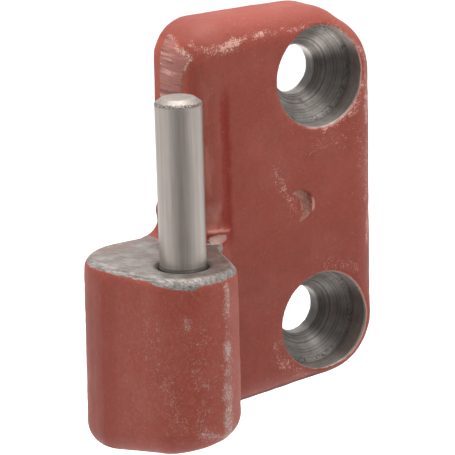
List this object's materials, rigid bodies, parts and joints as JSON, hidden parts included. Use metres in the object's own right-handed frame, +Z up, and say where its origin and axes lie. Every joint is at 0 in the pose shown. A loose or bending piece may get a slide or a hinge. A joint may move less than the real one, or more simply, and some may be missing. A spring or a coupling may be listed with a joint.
{
  "type": "lift-off hinge pin half",
  "caption": "Pin half of a lift-off cab door hinge: a red-primed forging with a countersunk, screwed-on leaf and a stout knuckle that carries a pressed, upright steel pin.",
  "frame": {"origin": "on the leaf's back face, midway between the screw holes", "axes": "+Z up along the pin, +Y out of the back face towards the pillar it is screwed to, +X right across the leaf as seen from the front"},
  "size_m": [0.0749, 0.0369, 0.0901],
  "materials": {
    "red_primer": "matte red-oxide primer on a forged skin, worn bare on the edges; the machined seat and countersinks are bare steel",
    "ground_steel": "bare ground steel, with fine marks along the pin"
  },
  "bodies": {
    "root": {"hinge_body": "red_primer", "hinge_pin": "ground_steel"}
  },
  "joints": []
}
